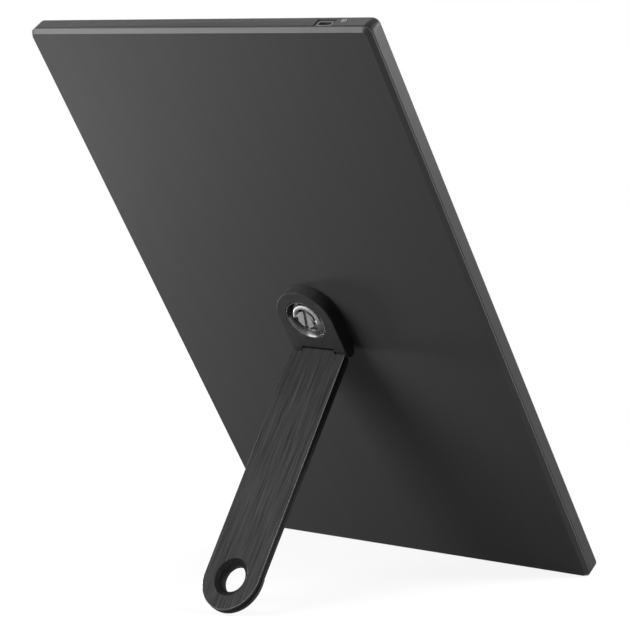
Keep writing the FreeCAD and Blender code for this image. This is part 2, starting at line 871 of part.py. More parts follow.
def main_board():
    """Board on the cover's posts, cut out for the socket, with its chips, screws and insulation."""
    base = slab(dim.board_short, dim.board_long, dim.board_thickness, board_x, board_y, board_low)
    notch_depth = board_top - socket_back + dim.socket_fit
    notch = slab(
        dim.socket_width + 2 * dim.socket_fit,
        notch_depth + dim.overrun,
        dim.board_thickness + dim.overrun,
        socket_x,
        board_top - notch_depth + (notch_depth + dim.overrun) / 2,
        board_low - dim.overrun / 2,
    )
    hole = dim.screw_radius + dim.screw_fit
    through = dim.board_thickness + dim.overrun
    holes = [rod(hole, through, x, y, board_low - dim.overrun / 2) for x, y in board_posts]
    node("main_board", cut(base, notch, *holes), panel)
    chips = []
    for across_share, along_share, side_share in CHIP_SHARES:
        side = side_share * dim.chip_side
        x = board_x + (across_share - 0.5) * dim.board_short
        y = board_y + (along_share - 0.5) * dim.board_long
        chips.append(slab(side, side, dim.chip_height, x, y, board_high))
    node("board_chips", together(*chips), panel)
    length = dim.board_thickness + dim.screw_bite
    screws = [small_screw(x, y, board_low, length, -1) for x, y in board_posts]
    node("board_screws", together(*screws), panel)
    film_right = glass_right - dim.insulation_inset
    film_left = board_x - dim.board_short / 2
    film_top = glass_long / 2 - dim.insulation_inset
    film = slab(
        film_right - film_left,
        film_top - board_bottom,
        dim.insulation_thickness,
        (film_left + film_right) / 2,
        (board_bottom + film_top) / 2,
        tray_back,
    )
    node("insulation_film", film, panel)


def socket():
    """Metal shell of the socket, and the plastic base with its tongue."""
    shell = oblong(
        dim.socket_width, dim.socket_height, dim.socket_length, socket_x, socket_back, socket_z
    )
    inside_width = dim.socket_width - 2 * dim.socket_wall
    inside_height = dim.socket_height - 2 * dim.socket_wall
    bore = oblong(
        inside_width,
        inside_height,
        dim.socket_length + dim.overrun,
        socket_x,
        socket_back - dim.overrun / 2,
        socket_z,
    )
    node("usb_c_shell", cut(shell, bore), panel)
    gap = dim.press_gap
    base = oblong(
        inside_width - 2 * gap, inside_height - 2 * gap, dim.socket_base, socket_x, socket_back, socket_z
    )
    reach = dim.socket_length - dim.tongue_setback
    tongue = slab(
        dim.tongue_width,
        reach,
        dim.tongue_thickness,
        socket_x,
        socket_back + reach / 2,
        socket_z - dim.tongue_thickness / 2,
    )
    node("usb_c_tongue", fuse(base, tongue), panel)


def ramp(low_end, low, high_end, high):
    """Profile of a flat cable that lies on a low board, climbs past its edge and lies on a high one."""
    thickness = dim.cable_thickness
    low_turn = low_end + dim.cable_slack
    high_turn = high_end - dim.cable_slack
    return [
        (low_end - dim.cable_grip, low),
        (low_turn, low),
        (high_turn, high),
        (high_end + dim.cable_grip, high),
        (high_end + dim.cable_grip, high + thickness),
        (high_turn - thickness, high + thickness),
        (low_turn - thickness, low + thickness),
        (low_end - dim.cable_grip, low + thickness),
    ]


# Keys on the bezel

def key_set():
    """Three keys, their switches on a small board, its screws and cable, and the status light."""
    for label, key_y in zip(KEYS, key_places):
        cap_front = front - dim.key_proud
        cap = rod(dim.key_radius, key_flange_front - cap_front, key_x, key_y, cap_front)
        flange = rod(dim.flange_radius, dim.flange_thickness, key_x, key_y, key_flange_front)
        stem = rod(dim.stem_radius, key_stem_end - key_flange_front, key_x, key_y, key_flange_front)
        node(label, fuse(cap, flange, stem), panel)
    switches = []
    for key_y in key_places:
        switch_front = key_board_front - dim.switch_height
        case = slab(dim.switch_side, dim.switch_side, dim.switch_height, key_x, key_y, switch_front)
        plunger = rod(
            dim.plunger_radius, dim.plunger_height, key_x, key_y, switch_front - dim.plunger_height
        )
        switches.append(fuse(case, plunger))
    node("key_switches", together(*switches), panel)
    base = slab(
        dim.key_board_width, key_board_long, dim.key_board_thickness, key_x, key_places[1], key_board_front
    )
    hole = dim.screw_radius + dim.screw_fit
    holes = [
        rod(hole, dim.key_board_thickness + dim.overrun, x, y, key_board_front - dim.overrun / 2)
        for x, y in key_posts
    ]
    node("key_board", cut(base, *holes), panel)
    length = dim.key_board_thickness + dim.screw_bite - dim.screw_fit
    screws = [small_screw(x, y, key_board_back, length, 1) for x, y in key_posts]
    node("key_screws", together(*screws), panel)
    light = rod(dim.light_radius, key_board_front - front, key_x, light_y, front)
    node("status_light", light, panel)


def cables():
    """Flat cables from the main board to the driver board and to the key board."""
    to_display = ramp(driver_top, driver_back, board_bottom, board_high)
    cable_x = driver_x - (dim.driver_width - dim.cable_width) / 2
    node("display_cable", strip("YZ_Plane", to_display, dim.cable_width, cable_x), panel)
    to_keys = [(-x, z) for x, z in ramp(-key_board_left, key_board_back, -board_right, board_high)]
    node("key_cable", strip("XZ_Plane", to_keys, dim.cable_width, -key_places[-1]), panel)


# Threaded bush for the stand

def stand_fixing():
    """Steel plate on four bosses, its screws, and the threaded bush flanged behind it."""
    body = new_body()
    outline = rounded(
        sketch_on(body, "XY_Plane", plate_low), dim.plate_side, dim.plate_side, dim.plate_corner
    )
    feature(body, "Pad", outline, dim.plate_thickness)
    hole = dim.screw_radius + dim.screw_fit
    through = dim.plate_thickness + dim.overrun
    below = plate_low - dim.overrun / 2
    tools = [rod(hole, through, x, y, below) for x, y in plate_screws]
    tools.append(rod(dim.bush_radius + dim.bush_fit, through, z=below))
    node("mount_plate", cut(body, *tools), panel)
    length = dim.plate_thickness + dim.screw_bite
    screws = [small_screw(x, y, plate_low, length, -1) for x, y in plate_screws]
    node("mount_screws", together(*screws), panel)
    bore = dim.thread_radius + dim.thread_fit
    bush = turned(
        [
            (bore, sized(0)),
            (dim.bush_radius, sized(0)),
            (dim.bush_radius, plate_low),
            (dim.bush_flange_radius, plate_low),
            (dim.bush_flange_radius, bush_flange_low),
            (dim.bush_radius, bush_flange_low),
            (dim.bush_radius, bush_end),
            (sized(0), bush_end),
            (sized(0), bush_bore_end),
            (bore, bush_bore_end),
        ]
    )
    node("tripod_nut", bush, panel)


# Head of the stand

def stand_head():
    """Flat head with a round end and two ears, bored for the cup, the screw, the clip and the shaft."""
    width = 2 * dim.stand_half_width
    blank = fuse(
        rod(dim.stand_half_width, dim.head_thickness, z=head_low),
        slab(width, dim.hinge_drop, dim.head_thickness, y=hinge_y / 2, z=head_low),
        rod(ear_radius, width, -dim.stand_half_width, hinge_y, hinge_z, along="x"),
    )
    notch_top = hinge_y + dim.knuckle_radius + dim.running_gap
    notch_length = 2 * ear_radius + dim.overrun
    gap = dim.press_gap
    bore_length = width - dim.ear_end_wall + dim.overrun
    tools = [
        slab(
            2 * notch_half_width,
            notch_length,
            dim.head_thickness + dim.overrun,
            y=notch_top - notch_length / 2,
            z=head_low - dim.overrun / 2,
        ),
        taper(
            cup_floor_radius + dim.cup_wall + gap,
            cup_rim_radius + dim.cup_wall + gap,
            dim.cup_depth + dim.cup_floor,
            z=cup_bottom,
        ),
        rod(screw_hole, dim.head_thickness, z=head_low - dim.overrun / 2),
        rod(dim.clip_radius + dim.clip_well_gap, clip_well_depth, z=head_low),
        rod(
            dim.shaft_radius + gap,
            bore_length,
            -dim.stand_half_width - dim.overrun,
            hinge_y,
            hinge_z,
            along="x",
        ),
        rod(
            dim.plug_radius + gap,
            dim.ear_end_wall + dim.overrun,
            -dim.stand_half_width - dim.overrun,
            hinge_y,
            hinge_z,
            along="x",
        ),
    ]

    def rim(edge):
        """The outline of the head's face: the round end and the two flanks."""
        box = edge.BoundBox
        wide = max(abs(box.XMin), abs(box.XMax)) > notch_half_width.value + dim.head_chamfer.value
        return level(edge, head_high) and wide and box.YMax > notch_top.value

    shape = softened("Part::Chamfer", cut(blank, *tools), dim.head_chamfer, rim)
    node("stand_head", shape, panel)


def head_pad():
    """Thin rubber under the head."""
    radius = dim.stand_half_width - dim.pad_inset
    length = dim.hinge_drop - dim.knuckle_radius - dim.running_gap - dim.pad_inset
    outline = fuse(
        rod(radius, dim.pad_thickness),
        slab(2 * radius, length, dim.pad_thickness, y=-length / 2),
    )
    hole = rod(dim.pad_hole_radius, dim.pad_thickness + dim.overrun, z=-dim.overrun / 2)
    node("head_pad", cut(outline, hole), panel)


def screw_cup():
    """Bright tapered cup that the captive screw sits in."""
    wall = dim.cup_wall
    cup = turned(
        [
            (screw_hole, cup_bottom),
            (cup_floor_radius + wall, cup_bottom),
            (cup_rim_radius + wall, head_high),
            (cup_rim_radius, head_high),
            (cup_floor_radius, cup_seat),
            (screw_hole, cup_seat),
        ]
    )
    node("screw_cup", cup, panel)


def tripod_screw():
    """Slotted screw with two flats for the ring's pivots, and a groove for its clip."""
    head_radius = dim.slotted_head_radius
    groove_low = clip_low - dim.clip_play
    groove_high = clip_low + dim.clip_thickness + dim.clip_play
    shank = dim.thread_radius
    end = bush_bore_end + dim.shank_clearance
    body = turned(
        [
            (sized(0), end),
            (shank - dim.shank_chamfer, end),
            (shank, end + dim.shank_chamfer),
            (shank, groove_low),
            (dim.clip_groove_radius, groove_low),
            (dim.clip_groove_radius, groove_high),
            (shank, groove_high),
            (shank, screw_under_head),
            (head_radius, screw_under_head),
            (head_radius, screw_top),
            (sized(0), screw_top),
        ]
    )
    side = dim.overrun
    height = screw_top - screw_under_head + dim.overrun
    flat_x = dim.slotted_head_flat + side / 2
    pivot = dim.pivot_radius + dim.pivot_gap
    pivot_bottom = dim.slotted_head_flat - dim.pivot_depth
    tools = [slab(side, 2 * head_radius, height, sign * flat_x, 0, screw_under_head) for sign in (-1, 1)]
    tools.append(rod(pivot, dim.overrun + dim.pivot_depth, pivot_bottom, 0, ring_z, along="x"))
    tools.append(
        rod(
            pivot,
            dim.overrun + dim.pivot_depth,
            -pivot_bottom - dim.overrun - dim.pivot_depth,
            0,
            ring_z,
            along="x",
        )
    )
    slot_low = screw_top - dim.slot_depth
    tools.append(slab(dim.slot_width, 2 * head_radius + dim.overrun, height, 0, 0, slot_low))
    node("tripod_screw", cut(body, *tools), screw)


def d_ring():
    """Half ring on two short legs, with pins that turn in the sides of the screw head."""
    arch = doc.addObject("Part::Torus", "Arch")
    bind(arch, "Radius1", ring_radius)
    bind(arch, "Radius2", dim.ring_wire)
    arch.Angle3 = 180
    put(arch, 0, dim.ring_leg, ring_z)
    leg_length = dim.ring_leg + dim.ring_tail
    pin_start = dim.slotted_head_flat - dim.pivot_depth + dim.pivot_gap
    pin_length = ring_radius - pin_start
    pieces = [arch]
    for sign in (-1, 1):
        pieces.append(rod(dim.ring_wire, leg_length, sign * ring_radius, -dim.ring_tail, ring_z, along="y"))
        start = pin_start if sign > 0 else -ring_radius
        pieces.append(rod(dim.pivot_radius, pin_length, start, 0, ring_z, along="x"))

    def leg_end(edge):
        """The round edge at the end of a leg."""
        return edge.BoundBox.YMax < -dim.ring_tail.value + dim.press_gap.value

    shape = softened("Part::Fillet", fuse(*pieces), dim.ring_end_round, leg_end)
    node("d_ring", shape, screw)


def screw_clip():
    """Open spring clip in the screw's groove."""
    outer = rod(dim.clip_radius, dim.clip_thickness, z=clip_low)
    height = dim.clip_thickness + dim.overrun
    low = clip_low - dim.overrun / 2
    bore = rod(dim.clip_groove_radius + dim.shaft_fit, height, z=low)
    mouth_length = dim.clip_radius + dim.overrun
    mouth = slab(dim.clip_mouth, mouth_length, height, 0, -mouth_length / 2, low)
    node("screw_clip", cut(outer, bore, mouth), screw)


# Hinge

def hinge():
    """Shaft held in the ears, its plug, the washers beside the knuckle and the sleeve inside it."""
    start = dim.ear_end_wall - dim.stand_half_width
    shaft = rod(dim.shaft_radius, -2 * start, start, hinge_y, hinge_z, along="x")
    node("hinge_shaft", shaft, panel)
    plug = rod(dim.plug_radius, dim.ear_end_wall, -dim.stand_half_width, hinge_y, hinge_z, along="x")
    node("hinge_plug", plug, panel)
    washers = []
    height = dim.washer_thickness
    for sign in (-1, 1):
        middle = sign * (dim.tongue_half_width + dim.washer_gap + height / 2)
        ring = rod(dim.washer_radius, height, middle - height / 2, hinge_y, hinge_z, along="x")
        bore_length = height + dim.overrun
        bore_start = middle - bore_length / 2
        bore = rod(dim.shaft_radius + dim.shaft_fit, bore_length, bore_start, hinge_y, hinge_z, along="x")
        washers.append(cut(ring, bore))
    node("friction_washers", together(*washers), panel)
    half = dim.tongue_half_width - dim.sleeve_inset
    sleeve = rod(dim.sleeve_radius, 2 * half, -half, along="x")
    bore_length = 2 * half + dim.overrun
    bore = rod(dim.shaft_radius + dim.shaft_fit, bore_length, -bore_length / 2, along="x")
    node("friction_bush", cut(sleeve, bore), arm)


# Arm, drawn folded flat: its axis on x, its outer face up and its tip towards -y

def arm_outline(radius, start, low, height):
    """A flat bar with a full round end."""
    return fuse(
        slab(2 * radius, dim.arm_reach - start, height, 0, -(dim.arm_reach + start) / 2, low),
        rod(radius, height, 0, -dim.arm_reach, low),
    )


def hang_bore():
    """The hanging hole through plate, liner and foot."""
    height = dim.foot_tip_thickness + dim.overrun
    return rod(dim.hang_radius, height, 0, -dim.arm_reach, foot_tip - dim.overrun / 2)


def foot_boss():
    """The round middle of the foot, which the hanging hole goes through."""
    height = plate_under - foot_tip
    return rod(dim.foot_boss_radius, height, 0, -dim.arm_reach, foot_tip)


def arm_plate():
    """Brushed plate with a knuckle on the hinge and a countersunk hanging hole."""
    half = dim.tongue_half_width
    thickness = dim.arm_plate_thickness
    face = dim.knuckle_radius
    blank = fuse(
        rod(dim.knuckle_radius, 2 * half, -half, along="x"),
        slab(2 * half, shoulder, thickness, 0, -shoulder / 2, plate_under),
        arm_outline(dim.stand_half_width, shoulder, plate_under, thickness),
    )
    rim_rise = dim.hang_rim_depth + dim.overrun
    rim_spread = (dim.hang_rim_radius - dim.hang_radius) * rim_rise / dim.hang_rim_depth
    tools = [
        hang_bore(),
        taper(
            dim.hang_radius,
            dim.hang_radius + rim_spread,
            rim_rise,
            0,
            -dim.arm_reach,
            face - dim.hang_rim_depth,
        ),
        rod(
            dim.sleeve_radius + dim.press_gap,
            2 * half + dim.overrun,
            -half - dim.overrun / 2,
            along="x",
        ),
    ]

    def rim(edge):
        """The outline of the brushed face: its long sides and its round tip."""
        box = edge.BoundBox
        wide = max(abs(box.XMin), abs(box.XMax)) > dim.stand_half_width.value - dim.arm_chamfer.value
        return level(edge, face) and wide and box.YLength > shoulder.value

    shape = softened("Part::Chamfer", cut(blank, *tools), dim.arm_chamfer, rim)
    node("arm_plate", shape, arm)


def arm_liner():
    """Dark layer under the plate, thicker at the hinge, with a fine groove below the plate."""
    wedge = strip(
        "YZ_Plane",
        [
            (-shoulder, plate_under),
            (-shoulder, liner_root + dim.liner_heel),
            (-shoulder - dim.liner_heel, liner_root),
            (-foot_start, liner_tip),
            (-foot_start, plate_under),
        ],
        2 * dim.stand_half_width,
    )
    groove = cut(
        arm_outline(
            dim.stand_half_width + dim.overrun, shoulder - dim.overrun, groove_floor, dim.groove_height
        ),
        arm_outline(dim.stand_half_width - dim.groove_depth, shoulder, groove_floor, dim.groove_height),
    )
    node("arm_liner", cut(wedge, groove, foot_boss()), arm)


def foot_pad():
    """Rubber round the tip and the hanging hole, thicker towards the end, with a round lower edge."""
    wedge = strip(
        "YZ_Plane",
        [
            (-foot_root_start, plate_under),
            (-foot_root_start, foot_root),
            (-foot_end, foot_tip),
            (-foot_end, plate_under),
        ],
        2 * foot_radius,
    )
    reach = foot_end - foot_start
    tip_part = slab(
        2 * foot_radius, reach, plate_under - foot_tip, 0, -foot_start - reach / 2, foot_tip
    )
    outline = arm_outline(foot_radius, foot_start, foot_tip, groove_floor - foot_tip)
    blank = shared(wedge, shared(tip_part, outline))

    def lower_edge(edge):
        """The round lower edge at the tip."""
        box = edge.BoundBox
        return box.ZMax < foot_root.value and box.YMax < -foot_start.value

    band = softened("Part::Fillet", blank, dim.foot_round, lower_edge)
    neck_outline = arm_outline(
        dim.stand_half_width - dim.groove_depth, foot_start, groove_floor, dim.groove_height
    )
    whole = fuse(band, shared(tip_part, neck_outline), shared(wedge, foot_boss()))
    node("foot_pad", cut(whole, hang_bore()), arm)


rear_cover()
front_frame()
display_stack()
led_strip()
driver_board()
main_board()
socket()
key_set()
cables()
stand_fixing()
stand_head()
head_pad()
screw_cup()
tripod_screw()
d_ring()
screw_clip()
hinge()
arm_plate()
arm_liner()
foot_pad()
doc.recompute()

failed = [item.Label for item in doc.Objects if "Invalid" in item.State or "Error" in item.State]
if failed:
    raise RuntimeError(f"not built: {failed}")
for piece in nodes:
    if piece.Shape.isNull() or not piece.Shape.isValid() or not piece.Shape.Solids:
        raise RuntimeError(f"no sound solid: {piece.Label}")

os.makedirs("parts", exist_ok=True)
for piece in nodes:
    piece.Shape.exportStep(f"parts/{piece.Label}.step")
    print(f"{piece.Label}: {len(piece.Shape.Solids)} solids, {piece.Shape.Volume:.1f} mm3")
print(f"{len(nodes)} nodes")
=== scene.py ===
# %% [markdown]
# # A portable monitor on its folding stand
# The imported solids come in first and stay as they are: they carry the real sizes and the joints.
# Everything after that adds finish to them: moulded, brushed, turned and rubber surfaces, small printed
# marks, and a studio to look at them in.

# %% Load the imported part
import json
import math

import bmesh
import bpy
from mathutils import Matrix, Vector


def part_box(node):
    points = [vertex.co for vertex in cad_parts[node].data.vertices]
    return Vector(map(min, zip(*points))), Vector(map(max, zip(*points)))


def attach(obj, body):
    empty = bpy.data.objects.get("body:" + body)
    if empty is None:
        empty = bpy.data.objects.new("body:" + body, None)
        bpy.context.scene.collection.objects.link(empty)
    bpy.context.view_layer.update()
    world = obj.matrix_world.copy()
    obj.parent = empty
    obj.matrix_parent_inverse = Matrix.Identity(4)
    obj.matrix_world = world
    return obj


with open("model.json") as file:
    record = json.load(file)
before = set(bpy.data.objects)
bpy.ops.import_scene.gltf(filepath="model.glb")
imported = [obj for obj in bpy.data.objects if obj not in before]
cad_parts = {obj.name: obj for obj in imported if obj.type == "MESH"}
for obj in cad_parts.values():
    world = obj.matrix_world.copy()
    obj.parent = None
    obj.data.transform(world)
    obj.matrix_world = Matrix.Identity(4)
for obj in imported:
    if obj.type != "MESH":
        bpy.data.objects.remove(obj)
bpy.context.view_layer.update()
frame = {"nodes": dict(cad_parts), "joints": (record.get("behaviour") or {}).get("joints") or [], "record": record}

# %% [markdown]
# The panel leans back, so world axes are awkward for placing things on it. The stand turns about the middle
# of the back face, and that joint gives the way out of the back. Across, up and out of the panel are built
# from it once, and every place on the panel is then written in millimetres along those three.

# %% Axes of the leaning panel
swivel = next(joint for joint in frame["joints"] if joint["name"] == "stand_swivel")
BACK_MIDDLE = Vector(swivel["pos_m"])
OUT = Vector(swivel["axis"]).normalized()
ACROSS = Vector((-1, 0, 0))
UP = OUT.cross(ACROSS)
MM = 0.001


def on_panel(across, up, out):
    """A place in millimetres on the leaning panel, in the frame's metres."""
    return BACK_MIDDLE + (ACROSS * across + UP * up + OUT * out) * MM


def panel_way(across, up, out):
    """A direction written along the panel's axes."""
    return (ACROSS * across + UP * up + OUT * out).normalized()


print("panel leans", round(math.degrees(math.asin(UP.y)), 2), "degrees")

# %% [markdown]
# The photograph was taken with a long lens from the stand's side, a little above the desk. Its camera was
# solved from the panel's straight edges and corners, and is written here along the panel's own axes, so it
# follows the panel if the lean changes.

# %% Camera
CAMERA_PLACE = (812.55, 683.9, 759.2)
camera_data = bpy.data.cameras.new("photo_camera")
camera_data.sensor_width = 36.0
camera_data.lens = 138.46
camera_data.clip_start = 0.05
camera = bpy.data.objects.new("photo_camera", camera_data)
bpy.context.scene.collection.objects.link(camera)
right = panel_way(0.78008, -0.35040, -0.51836)
upright = panel_way(-0.06898, 0.77526, -0.62787)
forward = panel_way(-0.62187, -0.52554, -0.58059)
turn = Matrix((right, upright, -forward)).transposed().to_4x4()
camera.matrix_world = Matrix.Translation(on_panel(*CAMERA_PLACE)) @ turn
bpy.context.scene.camera = camera
print("camera at", [round(value, 3) for value in camera.matrix_world.translation])

# %% [markdown]
# A product picture like this has a seamless white ground. The camera and clean reflections see the floor as
# white with a soft shadow on it, and it fades into the white world before its rim, so no edge shows. For light
# that bounces to the object the floor is darker, or a black back would turn grey.

# %% Floor and white surroundings
WORLD_LIGHT = 0.12
FLOOR_RADIUS = 2.5
FLOOR_DROP = 0.2 * MM
FLOOR_TONE = 0.82
FLOOR_BOUNCE = 0.08
FADE_NEAR, FADE_FAR = 0.15, 0.6
FADE_START = 0.86
bpy.context.scene.view_settings.view_transform = "Standard"


def grey(value):
    """A colour without a hue."""
    return (value, value, value)


def seen_directly(tree):
    """One where a ray comes from the camera, a reflection or clear glass."""
    path = tree.nodes.new("ShaderNodeLightPath")
    total = path.outputs["Is Camera Ray"]
    for name in ("Is Glossy Ray", "Is Transmission Ray"):
        either = tree.nodes.new("ShaderNodeMath")
        either.operation = "MAXIMUM"
        tree.links.new(total, either.inputs[0])
        tree.links.new(path.outputs[name], either.inputs[1])
        total = either.outputs[0]
    return total


world = bpy.data.worlds.new("studio")
bpy.context.scene.world = world
world.use_nodes = True
sky = world.node_tree
dim_light = sky.nodes["Background"]
dim_light.inputs["Color"].default_value = (1, 1, 1, 1)
dim_light.inputs["Strength"].default_value = WORLD_LIGHT
white = sky.nodes.new("ShaderNodeBackground")
white.inputs["Color"].default_value = (1, 1, 1, 1)
white.inputs["Strength"].default_value = 1.0
choice = sky.nodes.new("ShaderNodeMixShader")
sky.links.new(seen_directly(sky), choice.inputs["Fac"])
sky.links.new(dim_light.outputs[0], choice.inputs[1])
sky.links.new(white.outputs[0], choice.inputs[2])
sky.links.new(choice.outputs[0], sky.nodes["World Output"].inputs["Surface"])

floor_mesh = bpy.data.meshes.new("floor")
shape = bmesh.new()
bmesh.ops.create_circle(shape, cap_ends=True, radius=FLOOR_RADIUS, segments=96)
shape.to_mesh(floor_mesh)
shape.free()
floor = bpy.data.objects.new("floor", floor_mesh)
floor.location.z = -FLOOR_DROP
bpy.context.scene.collection.objects.link(floor)

paper = bpy.data.materials.new("white_ground")
paper.use_nodes = True
ground = paper.node_tree
ground.nodes.remove(ground.nodes["Principled BSDF"])
matt = ground.nodes.new("ShaderNodeBsdfDiffuse")
matt.inputs["Color"].default_value = (*grey(FLOOR_TONE), 1)
bounce = ground.nodes.new("ShaderNodeBsdfDiffuse")
bounce.inputs["Color"].default_value = (*grey(FLOOR_BOUNCE), 1)
glow = ground.nodes.new("ShaderNodeEmission")
glow.inputs["Strength"].default_value = 1.0
soft_shadow = ground.nodes.new("ShaderNodeMixShader")
ground.links.new(matt.outputs[0], soft_shadow.inputs[1])
ground.links.new(glow.outputs[0], soft_shadow.inputs[2])
position = ground.nodes.new("ShaderNodeTexCoord")
distance = ground.nodes.new("ShaderNodeVectorMath")
distance.operation = "LENGTH"
ground.links.new(position.outputs["Object"], distance.inputs[0])
fade = ground.nodes.new("ShaderNodeMapRange")
fade.inputs["From Min"].default_value = FADE_NEAR
fade.inputs["From Max"].default_value = FADE_FAR
fade.inputs["To Min"].default_value = FADE_START
fade.inputs["To Max"].default_value = 1.0
ground.links.new(distance.outputs["Value"], fade.inputs["Value"])
ground.links.new(fade.outputs["Result"], soft_shadow.inputs["Fac"])
seen = ground.nodes.new("ShaderNodeMixShader")
ground.links.new(seen_directly(ground), seen.inputs["Fac"])
ground.links.new(bounce.outputs[0], seen.inputs[1])
ground.links.new(soft_shadow.outputs[0], seen.inputs[2])
ground.links.new(seen.outputs[0], ground.nodes["Material Output"].inputs["Surface"])
floor_mesh.materials.append(paper)
print("floor radius", FLOOR_RADIUS)

# %% [markdown]
# The back of the panel is brightest at its upper left and falls off to the lower right. The main soft box
# hangs close by on that side and also draws the bright line along the upper bevel. A small one low on the
# left grazes the back, so that the head throws a shadow to the right. One in front of the panel on the right
# lights the long wall, and the largest, further off, lights the screen.

# %% Soft boxes


def soft_box(name, place, aim, size, power):
    """A flat lamp that faces a place, with its two sides in metres and its power in watts."""
    lamp_data = bpy.data.lights.new(name, "AREA")
    lamp_data.shape = "RECTANGLE"
    lamp_data.size, lamp_data.size_y = size
    lamp_data.energy = power
    lamp = bpy.data.objects.new(name, lamp_data)
    lamp.location = place
    lamp.rotation_euler = (aim - place).to_track_quat("-Z", "Y").to_euler()
    bpy.context.scene.collection.objects.link(lamp)


soft_box("top_box", on_panel(-279, 463, 210), on_panel(0, 120, 0), (0.45, 0.45), 5.6)
soft_box("left_box", on_panel(-420, -120, 130), on_panel(0, 0, 0), (0.08, 0.2), 4.8)
soft_box("right_box", on_panel(650, 60, -450), on_panel(113, 0, -5), (0.4, 0.4), 11.0)
soft_box("screen_box", on_panel(-300, 500, -1100), on_panel(0, 0, -10), (0.9, 0.9), 8.0)

# %% [markdown]
# Every finish is a node material, and they share one pattern: a shader with its constant values set straight
# on it, and patterns read from the piece's own coordinates, which stay with the piece when a joint moves.

# %% A short way to write a finish


class Finish:
    """A material in the making: its shader, and a short way to add and join nodes."""

    def __init__(self, name, **values):
        self.material = bpy.data.materials.new(name)
        self.material.use_nodes = True
        self.tree = self.material.node_tree
        self.shader = self.tree.nodes["Principled BSDF"]
        self.set(self.shader, values)
        self.place = self.add("ShaderNodeTexCoord").outputs["Object"]

    def set(self, node, values):
        """Set a node's inputs, or else its own settings, by name."""
        for name, value in values.items():
            socket = node.inputs.get(name.replace("_", " "))
            if socket is None:
                setattr(node, name, value)
            else:
                socket.default_value = value

    def add(self, kind, **values):
        """A new node with some of its values set."""
        node = self.tree.nodes.new(kind)
        self.set(node, values)
        return node

    def join(self, start, end):
        """Lead an output into an input."""
        self.tree.links.new(start, end)

    def along(self, turn, stretch):
        """The piece's coordinates, turned about x by an angle and then stretched along each axis."""
        turned = self.add("ShaderNodeMapping", Rotation=(turn, 0, 0))
        stretched = self.add("ShaderNodeMapping", Scale=stretch)
        self.join(self.place, turned.inputs["Vector"])
        self.join(turned.outputs["Vector"], stretched.inputs["Vector"])
        return stretched.outputs["Vector"]

    def noise(self, size, detail=3.0, where=None):
        """Cloudy noise with features of a size in metres."""
        cloud = self.add("ShaderNodeTexNoise", Scale=1 / size, Detail=detail, Roughness=0.55)
        self.join(where or self.place, cloud.inputs["Vector"])
        return cloud.outputs["Fac"]

    def tone(self, pattern, dark, light, low=0.35, high=0.65):
        """Base colour that follows a pattern between two tones."""
        ramp = self.add("ShaderNodeValToRGB")
        ramp.color_ramp.elements[0].position = low
        ramp.color_ramp.elements[1].position = high
        ramp.color_ramp.elements[0].color = (*dark, 1)
        ramp.color_ramp.elements[1].color = (*light, 1)
        self.join(pattern, ramp.inputs["Fac"])
        self.join(ramp.outputs["Color"], self.shader.inputs["Base Color"])

    def polish(self, pattern, smooth, rough):
        """Roughness that follows a pattern."""
        spread = self.add("ShaderNodeMapRange", From_Min=0.3, From_Max=0.7, To_Min=smooth, To_Max=rough)
        self.join(pattern, spread.inputs["Value"])
        self.join(spread.outputs["Result"], self.shader.inputs["Roughness"])

    def relief(self, pattern, height):
        """Small bumps of a height in metres."""
        bump = self.add("ShaderNodeBump", Strength=1.0, Distance=height)
        self.join(pattern, bump.inputs["Height"])
        self.join(bump.outputs["Normal"], self.shader.inputs["Normal"])


def dress(finish, *names):
    """Give CAD nodes their finish."""
    for name in names:
        skin = frame["nodes"][name].data
        skin.materials.clear()
        skin.materials.append(finish.material)


def dress_faces(finish, name, chosen):
    """Give a second finish to the faces of a CAD node that a test chooses."""
    skin = frame["nodes"][name].data
    skin.materials.append(finish.material)
    faces = [face for face in skin.polygons if chosen(face)]
    for face in faces:
        face.material_index = 1
    print(name, "faces with a second finish:", len(faces))


print("finish helpers ready")

# %% [markdown]
# The shells are matt, with a fine grain that only softens the shine from a step away. Grain of about a tenth of
# a millimetre goes into the bump. The back also has faint hair lines along its height, a noise drawn out along
# the panel. Its bevel is smoother and shines more, so its faces take a finish of their own.

# %% Moulded shells
PANEL_TILT = math.atan2(OUT.y, OUT.z)
BEVEL_SLANT = (0.5, 0.9)

cover_finish = Finish("moulded_cover", Specular_IOR_Level=0.01)
hair_lines = cover_finish.noise(1.0, 3.0, cover_finish.along(PANEL_TILT, (1500, 14, 1500)))
cover_finish.tone(hair_lines, grey(0.053), grey(0.057))
cover_finish.polish(cover_finish.noise(0.004), 0.54, 0.62)
cover_finish.relief(cover_finish.noise(0.00012, 1.0), 0.000004)
dress(cover_finish, "rear_cover")

bevel_finish = Finish("smooth_bevel", Specular_IOR_Level=0.16)
bevel_finish.tone(bevel_finish.noise(0.05), grey(0.044), grey(0.050))
bevel_finish.polish(bevel_finish.noise(0.004), 0.28, 0.36)
bevel_finish.relief(bevel_finish.noise(0.00012, 1.0), 0.000002)


def on_bevel(face):
    """Whether a face of the cover slants between the back and the side."""
    return BEVEL_SLANT[0] < face.normal.dot(OUT) < BEVEL_SLANT[1]


dress_faces(bevel_finish, "rear_cover", on_bevel)

frame_finish = Finish("moulded_frame", Specular_IOR_Level=0.15)
frame_finish.tone(frame_finish.noise(0.03), (0.023, 0.023, 0.024), (0.027, 0.027, 0.028))
frame_finish.polish(frame_finish.noise(0.003), 0.40, 0.50)
frame_finish.relief(frame_finish.noise(0.00015, 1.0), 0.000003)
dress(frame_finish, "front_frame", "power_key", "plus_key", "minus_key")
print("shells dressed")

# %% [markdown]
# The arm is a dark anodised plate, brushed lengthways. Brushing is many long hair lines, so the noise is
# squeezed across the arm and drawn out along it. The coordinates are first turned to the opened arm, whose
# angle comes from the hanging hole's axis in the record. The chamfer round the plate is cut bare and shines
# more, and its faces are found by their slant.

